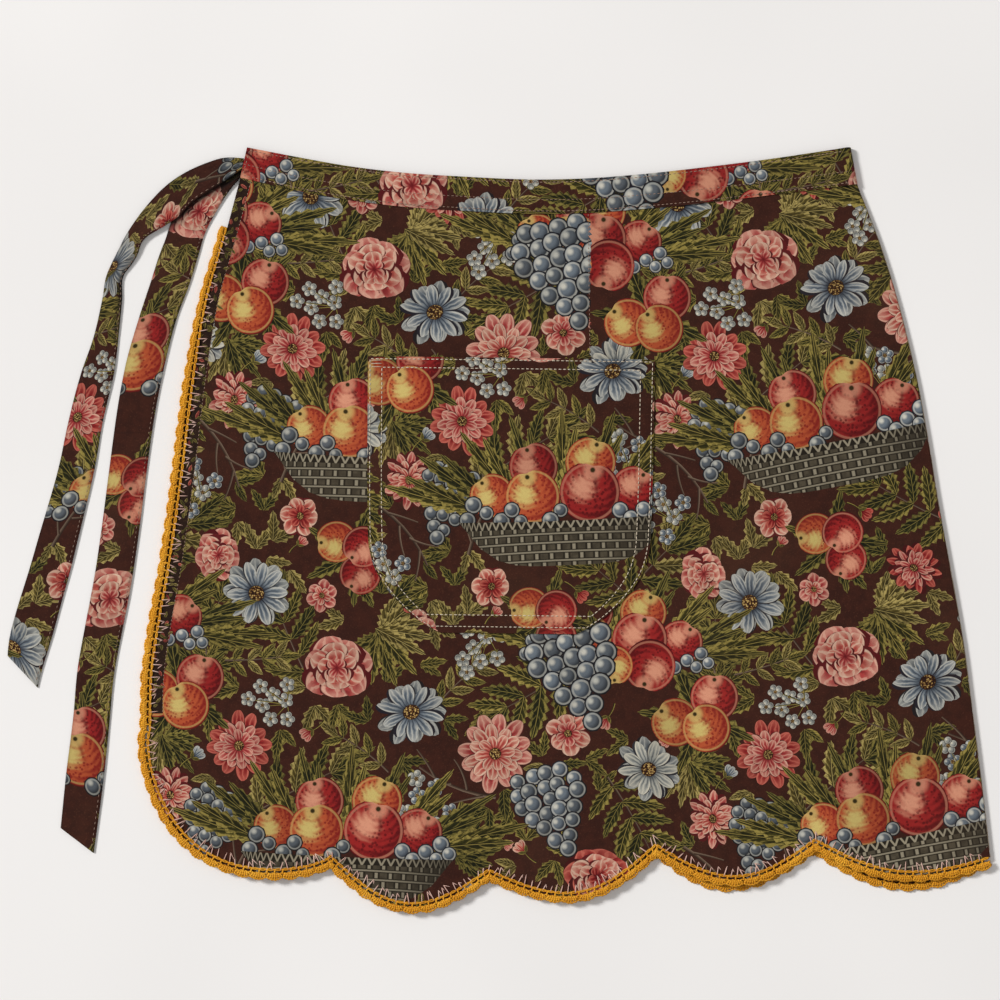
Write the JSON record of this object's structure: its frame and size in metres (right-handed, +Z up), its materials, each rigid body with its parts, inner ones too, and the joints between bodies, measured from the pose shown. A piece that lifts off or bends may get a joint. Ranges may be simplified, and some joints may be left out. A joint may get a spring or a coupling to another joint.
{
  "type": "half waist apron",
  "caption": "Flat folded half waist apron with a waistband, long ties, a patch pocket and a scalloped hem with crochet edging.",
  "frame": {"origin": "middle of the apron's bounding box, on the surface that it lies on", "axes": "+Z up from the surface, +Y towards the waistband, +X towards the folded edge, so the ties lie towards -X"},
  "size_m": [0.6708, 0.5214, 0.011],
  "materials": {
    "skirt_cloth": "printed cotton, maroon brown ground with flowers, leaves and fruit, matt plain weave",
    "band_cloth": "printed cotton, double, topstitched in a pale thread",
    "tie_cloth": "printed cotton, folded and sewn flat along one edge",
    "pocket_cloth": "printed cotton, twice topstitched in a cream thread",
    "edging_yarn": "golden ochre cotton yarn, crocheted in small shells"
  },
  "bodies": {
    "root": {"skirt": "skirt_cloth", "waistband": "band_cloth", "tie_front": "tie_cloth", "tie_back": "tie_cloth", "pocket": "pocket_cloth", "crochet_edging": "edging_yarn"}
  },
  "joints": []
}
